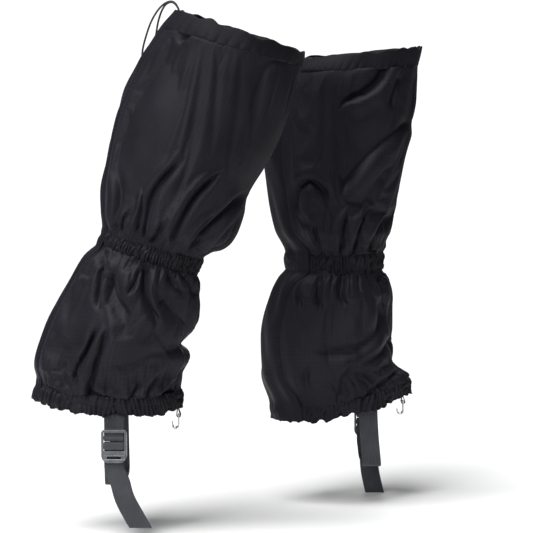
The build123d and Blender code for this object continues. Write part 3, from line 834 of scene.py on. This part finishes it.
def make_stitching(leg, pieces):
    tree = surface_tree([pieces["waist"], pieces["cuff"], pieces["hem"]])
    flap_tree = surface_tree([pieces["flap"]])
    rows = [leg.hem_low + 2 * MM]
    rows += [leg.waist_low + t * (leg.waist_top - leg.waist_low) for t in STITCH_ROWS]
    rows += [t * leg.cuff_top for t in STITCH_ROWS]
    stitches = []
    for height in rows:
        places = []
        for angle in angles_round(260):
            dip = cuff_dip(angle, height) if height < 2 * leg.cuff_top else 0
            if leg.flap_window(angle, height) < 0.05:
                places.append(on_surface(tree, leg, angle, height + dip))
            elif places:
                stitches += stitch_line(places)
                places = []
        if places:
            stitches += stitch_line(places)
    for side, edge in zip((leg.lateral, -leg.lateral), FLAP_EDGES):
        across = side * (edge - EDGE_STITCH)
        places = []
        for height in np.linspace(4 * MM, leg.rim - 3 * MM, 220):
            angle = math.pi + math.asin(across / leg.section(height)[4])
            places.append(on_surface(flap_tree, leg, angle, height + cuff_dip(angle, height)))
        stitches += stitch_line(places)
    return stitch_mesh(f"{leg.name}_stitching", stitches)


stitching = [make_stitching(leg, cloth[leg.name]) for leg in (RIGHT, LEFT)]

# ---------- webbing
WEB_WIDE = 20.0 * MM
WEB_THICK = 1.2 * MM
BAR_RADIUS = 1.5 * MM
BAR_DROP = 8.5 * MM
STAND_OFF = 3.5 * MM                # from the buckle's bar in to the webbing sewn to the hem
SEAM_LAP = 12 * MM                  # how far the webbing runs up inside the hem
TAIL_BOW = 1.5 * MM
TAB_WIDE = 8.0 * MM
TAB_THICK = 0.9 * MM
CLEAR = 0.3 * MM
STRAPS = {
    "right": dict(x=-35.8, bar=44.3, seam=-153.0, buckle=-173.3, sole=-230.0, half=42.0,
                  tail=[(0.8, -8), (5.8, -20), (11.2, -38), (26, -66), (33, -79)],
                  hook=(27.0, -165.0)),
    "left": dict(x=35.0, bar=37.5, seam=-152.0, buckle=-165.3, sole=-220.0, half=35.0,
                 tail=[(0.5, -8), (3, -21), (5, -40), (10, -62), (14, -75)],
                 hook=(73.5, -154.0)),
}


def rounded(points, radius, steps=7):
    """A polyline with its corners rounded, as a list of points."""
    points = [Vector(p) for p in points]
    line = [points[0]]
    for before, here, after in zip(points, points[1:], points[2:]):
        a, b = before - here, after - here
        cut = min(radius, 0.45 * a.length, 0.45 * b.length)
        p, q = here + a.normalized() * cut, here + b.normalized() * cut
        for k in range(steps + 1):
            t = k / steps
            line.append(p.lerp(here, t).lerp(here.lerp(q, t), t))
    line.append(points[-1])
    return line


def evenly(line, step):
    """The same line with points at even spacing, as an array."""
    line = np.array([tuple(p) for p in line])
    run = np.linalg.norm(np.diff(line, axis=0), axis=1)
    at = np.concatenate([[0.0], np.cumsum(run)])
    wanted = np.linspace(0, at[-1], max(4, int(at[-1] / step)))
    return np.stack([np.interp(wanted, at, line[:, k]) for k in range(3)], -1), wanted


def ribbon(name, line, sides, width, thick, step=1.1 * MM):
    """Flat woven tape along a line.  sides gives the direction across the tape, one vector or one
    for each point, and the tape's edges are rounded and slightly raised."""
    points, ups = evenly(line, step)
    tangent = np.gradient(points, axis=0)
    tangent /= np.linalg.norm(tangent, axis=1, keepdims=True)
    if callable(sides):
        side = np.array([sides(p, t) for p, t in zip(points, tangent)])
    else:
        side = np.repeat(np.array(sides, float)[None], len(points), 0)
    side -= (side * tangent).sum(1, keepdims=True) * tangent
    side /= np.linalg.norm(side, axis=1, keepdims=True)
    normal = np.cross(tangent, side)
    across = np.linspace(-0.5, 0.5, 21)
    bead = 1 + 0.10 * np.exp(-((np.abs(across) - 0.455) / 0.02) ** 2)
    round_off = np.sqrt(np.clip(1 - ((np.abs(across) - 0.47) / 0.03).clip(0) ** 2, 0, 1))
    lift = 0.5 * thick * bead * (0.25 + 0.75 * round_off)
    section = [(u * width, h) for u, h in zip(across, lift)]
    section += [(u * width, -h) for u, h in zip(across[::-1], lift[::-1])]
    section = np.array(section)
    grid = (points[:, None] + section[None, :, :1] * side[:, None]
            + section[None, :, 1:] * normal[:, None])
    turn = np.concatenate([section[:, 0], section[:1, 0]])
    ups = np.concatenate([ups, [2 * ups[-1] - ups[-2]]])
    uv = np.stack(np.meshgrid(ups, turn, indexing="ij")[::-1], -1)
    tape = grid_mesh(name, grid, uv)
    cap_ends(tape)
    return tape


def cap_ends(obj, cut_z=None):
    """Closes the tape's open ends; cut_z first trims everything below that height."""
    bm = bmesh.new()
    bm.from_mesh(obj.data)
    if cut_z is not None:
        everything = bm.verts[:] + bm.edges[:] + bm.faces[:]
        bmesh.ops.bisect_plane(bm, geom=everything, plane_co=(0, 0, cut_z), plane_no=(0, 0, -1),
                               clear_outer=True)
    open_edges = [e for e in bm.edges if e.is_boundary]
    bmesh.ops.holes_fill(bm, edges=open_edges, sides=0)
    bmesh.ops.recalc_face_normals(bm, faces=bm.faces[:])
    bm.to_mesh(obj.data)
    bm.free()


def bar_loop(seam, bar, radius, thick):
    """Side view of tape doubled round a bar: down from the seam, under the bar and back up."""
    turn = radius + 2 * CLEAR + thick / 2
    lay = thick / 2 + CLEAR / 2
    spread = bar[1] + 6 * radius
    under = [(bar[0] + turn * math.cos(a), bar[1] - turn * math.sin(a))
             for a in np.linspace(0, math.pi, 9)]
    front = [(seam[0] + lay, seam[1]), (seam[0] + lay, spread)]
    rear = [(seam[0] - lay, spread), (seam[0] - lay, seam[1])]
    return front + under + rear


class StrapPlan:
    """Where one gaiter's straps lie: measures in metres from the leg's centre."""

    def __init__(self, leg):
        self.leg = leg
        self.table = STRAPS[leg.name]
        measures = [self.table[k] * MM for k in ("x", "bar", "seam", "buckle", "sole", "half")]
        x, self.bar, self.seam, self.buckle, self.sole, self.half = measures
        self.x = leg.centre[0] + x

    def at(self, out, up, forward=0.0):
        """A point so far out to the lateral side, up, and forward of the webbing's middle."""
        _, cy, cz = self.leg.centre
        return (self.x + forward, cy + self.leg.lateral * out, cz + up)

    def finish(self, tape, body, *nodes):
        if body:
            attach(tape, body)
        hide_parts(*[f"{self.leg.name}_{node}" for node in nodes])
        return tape


def make_hanger(plan):
    loop = bar_loop((plan.bar - STAND_OFF, plan.seam + SEAM_LAP),
                    (plan.bar, plan.buckle - BAR_DROP), BAR_RADIUS, WEB_THICK)
    line = rounded([plan.at(*p) for p in loop], 1.5 * MM, 3)
    hanger = ribbon(f"{plan.leg.name}_hanger_web", line, (1, 0, 0), WEB_WIDE, WEB_THICK, 0.6 * MM)
    return plan.finish(hanger, "root", "buckle_hanger")


def make_underfoot(plan):
    """The strap under the boot: down from the buckle, under the sole and up the medial side into
    the hem."""
    bar, buckle, seam, sole, half = plan.bar, plan.buckle, plan.seam, plan.sole, plan.half
    lean = 4.0 * MM if plan.leg.lateral > 0 else 1.0 * MM
    route = [
        plan.at(bar - 3.0 * MM, buckle - 18.4 * MM),
        plan.at(bar - 3.0 * MM, buckle - 36 * MM),
        plan.at(half, sole, 0.5 * lean),
        plan.at(-half, sole, lean),
        plan.at(-(bar - STAND_OFF), 0.5 * (seam + sole), 0.2 * lean),
        plan.at(-(bar - STAND_OFF), seam + SEAM_LAP, -0.4 * lean),
    ]
    under = ribbon(f"{plan.leg.name}_underfoot_web", rounded(route, 12 * MM), (1, 0, 0),
                   WEB_WIDE, WEB_THICK)
    plan.at(bar - 60 * MM, buckle - 40 * MM)
    plan.at(bar, buckle - 20 * MM)
    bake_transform(under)
    return plan.finish(under, None, "underfoot_strap")


def make_tail(plan):
    """The strap's free end: up through the ladder-lock, over its bar, and hanging in front."""
    wrap = [(-3.0, -18.0), (-3.0, -12.9), (2.5, -12.9), (2.5, -20.0), (-0.6, -20.0), (-0.6, -33.0)]
    front = rounded([plan.at(plan.bar + w * MM, plan.buckle + v * MM) for w, v in wrap],
                    1.0 * MM, 4)
    (out, start), hang = wrap[-1], plan.table["tail"]
    below = [plan.at(plan.bar + out * MM, plan.buckle + (v + start) * MM, f * MM) for f, v in hang]
    top = np.array(front[-1])
    line = list(map(Vector, catmull(np.array([front[-2], top] + below))))
    for p in line:
        drop = max(0.0, top[2] - p.z)
        p.y += plan.leg.lateral * TAIL_BOW * math.sin(min(drop / (60 * MM), 1) * math.pi)

    def across_tail(p, t):
        return (1, 0, 0) if p[2] > top[2] else (-t[2], 0, t[0])

    tail = ribbon(f"{plan.leg.name}_tail_web", front[:-1] + line, across_tail,
                  WEB_WIDE, WEB_THICK, 0.8 * MM)
    cap_ends(tail, cut_z=plan.leg.centre[2] + plan.buckle + (hang[-2][1] + start) * MM)
    return plan.finish(tail, f"{plan.leg.name}_buckle", "strap_tail")


def make_tab(plan):
    """The narrow tape that holds the lace hook."""
    cx, cy, cz = plan.leg.centre
    x, z = (v * MM for v in plan.table["hook"])
    loop = bar_loop((x - 0.8 * MM, z + 14 * MM), (x, z), 1.0 * MM, TAB_THICK)
    line = rounded([(cx + a, cy, cz + b) for a, b in loop], 1.0 * MM, 3)
    tab = ribbon(f"{plan.leg.name}_tab_web", line, (0, 1, 0), TAB_WIDE, TAB_THICK, 0.5 * MM)
    return plan.finish(tab, "root", "hook_tab")


def make_straps(leg):
    plan = StrapPlan(leg)
    return {"hanger": make_hanger(plan), "under": make_underfoot(plan), "tail": make_tail(plan),
            "tab": make_tab(plan)}


straps = {leg.name: make_straps(leg) for leg in (RIGHT, LEFT)}

# ---------- materials


class Shader:
    """A material made of a few procedural nodes round one Principled shader."""

    def __init__(self, name, rough, metal=0.0, shine=None):
        self.material = bpy.data.materials.new(name)
        self.material.use_nodes = True
        self.tree = self.material.node_tree
        self.bsdf = self.tree.nodes["Principled BSDF"]
        self.set(self.bsdf, Roughness=rough, Metallic=metal)
        if shine is not None:
            self.set(self.bsdf, Specular_IOR_Level=shine)

    def set(self, node, **inputs):
        for name, value in inputs.items():
            self.put(node.inputs[name.replace("_", " ")], value)
        return node

    def node(self, kind, **inputs):
        return self.set(self.tree.nodes.new(kind), **inputs)

    def put(self, socket, value):
        if isinstance(value, bpy.types.NodeSocket):
            self.tree.links.new(value, socket)
        else:
            socket.default_value = value

    def math(self, operation, *values):
        node = self.tree.nodes.new("ShaderNodeMath")
        node.operation = operation
        for socket, value in zip(node.inputs, values):
            self.put(socket, value)
        return node.outputs[0]

    def cloth_xy(self):
        """Cloth coordinates in millimetres, across and along."""
        uv = self.node("ShaderNodeUVMap")
        uv.uv_map = "cloth"
        split = self.node("ShaderNodeSeparateXYZ", Vector=uv.outputs[0])
        return [self.math("MULTIPLY", out, 1000.0) for out in split.outputs[:2]]

    def object_noise(self, scale, detail=3.0):
        place = self.node("ShaderNodeTexCoord")
        noise = self.node("ShaderNodeTexNoise", Vector=place.outputs["Object"],
                          Scale=scale, Detail=detail)
        return noise.outputs[0]

    def wave(self, value, pitch, phase=0.0):
        """A cosine of a millimetre value, from 0 to 1."""
        turn = self.math("MULTIPLY_ADD", value, 2 * math.pi / pitch, phase)
        return self.math("MULTIPLY_ADD", self.math("COSINE", turn), 0.5, 0.5)

    def line(self, value, pitch, share):
        """1 on a line that repeats at a pitch and covers a share of it, 0 between the lines."""
        saw = self.math("PINGPONG", value, pitch / 2)
        edge = self.math("DIVIDE", saw, pitch * share / 2)
        return self.math("SUBTRACT", 1.0, self.math("MINIMUM", edge, 1.0))

    def blend(self, share, low, high):
        mix = self.tree.nodes.new("ShaderNodeMix")
        mix.data_type = "RGBA"
        self.put(mix.inputs[0], share)
        self.put(mix.inputs[6], (*low, 1))
        self.put(mix.inputs[7], (*high, 1))
        return mix.outputs[2]

    def scaled(self, value, low, high):
        return self.math("MULTIPLY_ADD", value, high - low, low)

    def colour(self, value):
        self.set(self.bsdf, Base_Color=value)

    def rough(self, base, scale, spread):
        """Roughness that varies with a noise, by half the spread either way."""
        noise = self.object_noise(scale)
        value = self.math("MULTIPLY_ADD", noise, spread, base - spread / 2)
        self.set(self.bsdf, Roughness=value)

    def bump(self, height, distance, strength=1.0):
        node = self.node("ShaderNodeBump", Height=height, Distance=distance, Strength=strength)
        before = self.bsdf.inputs["Normal"].links
        if before:
            self.tree.links.new(before[0].from_socket, node.inputs["Normal"])
        self.set(self.bsdf, Normal=node.outputs[0])

    def sheen(self, weight, rough, tint):
        self.set(self.bsdf, Sheen_Weight=weight, Sheen_Roughness=rough, Sheen_Tint=(*tint, 1))


RIP_PITCH = 4.0         # the ripstop grid, and the plain weave between its threads, in mm
WEAVE_PITCH = 0.55
FABRIC_SHINE = 0.18     # specular level of coated fabric, webbing and thread


def ripstop(name, dark, light, rough, crinkle):
    """Coated ripstop nylon: plain weave, a grid of thicker threads, satin sheen."""
    s = Shader(name, rough, shine=FABRIC_SHINE)
    across, along = s.cloth_xy()
    grid = s.math("MAXIMUM", s.line(across, RIP_PITCH, 0.2), s.line(along, RIP_PITCH, 0.2))
    weave = s.math("MULTIPLY", s.wave(across, WEAVE_PITCH), s.wave(along, WEAVE_PITCH))
    mottle = s.object_noise(22.0)
    seen = s.scaled(s.object_noise(14.0), -0.15, 0.75)
    tone = s.math("ADD", s.math("MULTIPLY", grid, seen), s.scaled(mottle, -0.15, 0.65))
    s.colour(s.blend(tone, dark, light))
    s.rough(rough, 60.0, 0.12)
    s.bump(s.math("MULTIPLY_ADD", grid, 0.7, weave), 0.07 * MM, 0.7)
    s.bump(s.object_noise(130.0, 4.0), crinkle * MM, 0.8)
    s.sheen(0.04, 0.4, (0.8, 0.75, 1.0))
    return s.material


def webbing(name, dark, light, pitch=1.5):
    """Flat woven webbing: herringbone ribs that run along the tape."""
    s = Shader(name, 0.62, shine=FABRIC_SHINE)
    across, along = s.cloth_xy()
    zigzag = s.math("PINGPONG", across, pitch)
    lean = s.math("MULTIPLY_ADD", zigzag, 0.9, along)
    pick = s.wave(lean, pitch * 0.62)
    rib = s.wave(across, pitch)
    height = s.math("MULTIPLY_ADD", pick, 0.55, rib)
    tone = s.math("MULTIPLY_ADD", height, 0.42, s.scaled(s.object_noise(70.0), -0.1, 0.5))
    s.colour(s.blend(tone, dark, light))
    s.bump(height, 0.16 * MM, 0.9)
    s.bump(s.object_noise(900.0), 0.05 * MM, 0.6)
    s.sheen(0.08, 0.5, (0.9, 0.92, 1.0))
    return s.material


def moulded(name, dark, light, rough):
    """Injection-moulded plastic: fine texture, rounded edges, and a painted highlight that makes
    its edges paler.
    """
    s = Shader(name, rough)
    round_edge = s.node("ShaderNodeBevel", Radius=0.5 * MM).outputs[0]
    facing = s.tree.nodes.new("ShaderNodeVectorMath")
    facing.operation = "DOT_PRODUCT"
    s.put(facing.inputs[0], round_edge)
    s.put(facing.inputs[1], s.node("ShaderNodeNewGeometry").outputs["Normal"])
    # painted highlight: the colour turns paler where the rounded edge normal leans away from the
    # face's own normal, along every edge
    painted_edge_highlight = s.math("MULTIPLY", s.math("SUBTRACT", 1.0, facing.outputs["Value"]), 5.0)
    tone = s.math("ADD", s.math("MINIMUM", painted_edge_highlight, 1.2), s.scaled(s.object_noise(160.0), 0.0, 0.4))
    s.set(s.bsdf, Normal=round_edge)
    s.colour(s.blend(tone, dark, light))
    s.rough(rough, 420.0, 0.14)
    s.bump(s.object_noise(2600.0, 2.0), 0.02 * MM, 0.5)
    return s.material


def plated(name, colour, rough):
    """Plated steel with fine drawing marks."""
    s = Shader(name, rough, metal=1.0)
    s.colour(s.blend(s.object_noise(700.0), tuple(0.8 * c for c in colour), colour))
    s.rough(rough, 700.0, 0.2)
    return s.material


def braided(name, dark, light):
    """Round braided cord: crossing diagonal strands."""
    s = Shader(name, 0.6)
    place = s.node("ShaderNodeTexCoord").outputs["Object"]
    x, y, z = s.node("ShaderNodeSeparateXYZ", Vector=place).outputs
    one = s.wave(s.math("MULTIPLY", s.math("ADD", z, x), 1000.0), 1.1)
    two = s.wave(s.math("MULTIPLY", s.math("SUBTRACT", z, y), 1000.0), 1.1)
    height = s.math("MAXIMUM", one, two)
    s.colour(s.blend(height, dark, light))
    s.bump(height, 0.12 * MM, 0.8)
    s.sheen(0.2, 0.5, (1, 1, 1))
    return s.material


def thread(name, colour):
    s = Shader(name, 0.5, shine=FABRIC_SHINE)
    s.colour(s.blend(s.object_noise(500.0), tuple(0.6 * c for c in colour), colour))
    s.bump(s.object_noise(1500.0), 0.03 * MM)
    return s.material


def paint(obj, material):
    if obj.data.materials:
        for k in range(len(obj.data.materials)):
            obj.data.materials[k] = material
    else:
        obj.data.materials.append(material)


PANEL = ripstop("ripstop_panel", (0.0034, 0.0030, 0.0050), (0.0200, 0.0181, 0.0268), 0.58, 0.16)
CASING = ripstop("ripstop_casing", (0.0028, 0.0025, 0.0042), (0.0150, 0.0136, 0.0205), 0.60, 0.16)
WEB = webbing("grey_webbing", (0.018, 0.0185, 0.022), (0.072, 0.074, 0.085))
TAPE = webbing("narrow_tape", (0.012, 0.012, 0.014), (0.035, 0.035, 0.040), 1.0)
# the light colour of each moulding is also its painted edge highlight
BUCKLE = moulded("buckle_moulding", (0.030, 0.031, 0.037), (0.34, 0.35, 0.38), 0.28)
LOCK = moulded("lock_moulding", (0.010, 0.010, 0.012), (0.030, 0.030, 0.034), 0.42)
METAL = plated("plated_hook", (0.66, 0.67, 0.69), 0.28)
SPRING = plated("spring_steel", (0.50, 0.50, 0.52), 0.34)
CORD = braided("braided_cord", (0.008, 0.008, 0.010), (0.030, 0.030, 0.035))
THREAD = thread("sewing_thread", (0.012, 0.011, 0.015))

SLOTS = (
    (("calf", "ankle", "flap"), PANEL, "ripstop"),
    (("waist", "cuff", "hem"), CASING, "casing_fabric"),
    (("hanger", "under", "tail"), WEB, "webbing"),
    (("tab",), TAPE, "tab_tape"),
)
for leg in (RIGHT, LEFT):
    pieces = cloth[leg.name] | straps[leg.name]
    for keys, material, slot in SLOTS:
        for key in keys:
            paint(pieces[key], material)
    paint(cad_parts[f"{leg.name}_buckle"], BUCKLE)
    paint(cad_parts[f"{leg.name}_lace_hook"], METAL)
for obj in stitching:
    paint(obj, THREAD)
paint(drawcord, CORD)
for part, material in (("barrel", LOCK), ("plunger", LOCK), ("spring", SPRING)):
    paint(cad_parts[f"right_cord_lock_{part}"], material)

# ---------- floor and light
FLOOR_Z = cad_box[0][2] - 0.0005
FLOOR_CORNERS = ((-0.75, -0.65), (1.0, 0.8))
BACKDROP, AMBIENT = 1.1, 0.13       # the world's strength as it is seen, and as it lights


def area_light(name, place, target, size, power):
    data = bpy.data.lights.new(name, "AREA")
    data.shape = "SQUARE"
    data.size = size
    data.energy = power
    light = link(bpy.data.objects.new(name, data))
    light.location = place
    aim = Vector(target) - Vector(place)
    light.rotation_euler = aim.to_track_quat("-Z", "Y").to_euler()


def sun_light(name, toward, angle, strength):
    data = bpy.data.lights.new(name, "SUN")
    data.angle = angle
    data.energy = strength
    light = link(bpy.data.objects.new(name, data))
    light.rotation_euler = Vector(toward).to_track_quat("Z", "Y").to_euler()


def make_floor():
    mesh = bpy.data.meshes.new("floor")
    (left, near), (right, far) = FLOOR_CORNERS
    mesh.from_pydata([(left, near, FLOOR_Z), (right, near, FLOOR_Z),
                      (right, far, FLOOR_Z), (left, far, FLOOR_Z)], [], [(0, 1, 2, 3)])
    floor = link(bpy.data.objects.new("floor", mesh))
    s = Shader("pale_floor", 0.8, shine=0.1)
    s.colour((0.93, 0.93, 0.93, 1))
    paint(floor, s.material)


def make_world():
    """An even white backdrop, which lights the object more softly than it shows."""
    world = bpy.data.worlds.new("studio")
    bpy.context.scene.world = world
    world.use_nodes = True
    tree = world.node_tree
    seen = tree.nodes["Background"]
    seen.inputs["Color"].default_value = (1, 1, 1, 1)
    seen.inputs["Strength"].default_value = BACKDROP
    soft = tree.nodes.new("ShaderNodeBackground")
    soft.inputs["Color"].default_value = (0.95, 0.97, 1.0, 1)
    soft.inputs["Strength"].default_value = AMBIENT
    path = tree.nodes.new("ShaderNodeLightPath")
    mix = tree.nodes.new("ShaderNodeMixShader")
    tree.links.new(path.outputs["Is Camera Ray"], mix.inputs[0])
    tree.links.new(soft.outputs[0], mix.inputs[1])
    tree.links.new(seen.outputs[0], mix.inputs[2])
    tree.links.new(mix.outputs[0], tree.nodes["World Output"].inputs[0])


make_floor()
make_world()
bpy.context.scene.view_settings.view_transform = "Standard"
sun_light("key", (-0.30, -0.30, 1.0), math.radians(34), 3.6)
area_light("softbox", (-0.45, -0.95, 0.55), (-0.02, 0.0, 0.08), 0.45, 8.0)
area_light("back", (0.5, 1.7, 0.6), (0.10, 0.05, 0.0), 1.0, 7.0)

bpy.context.view_layer.update()
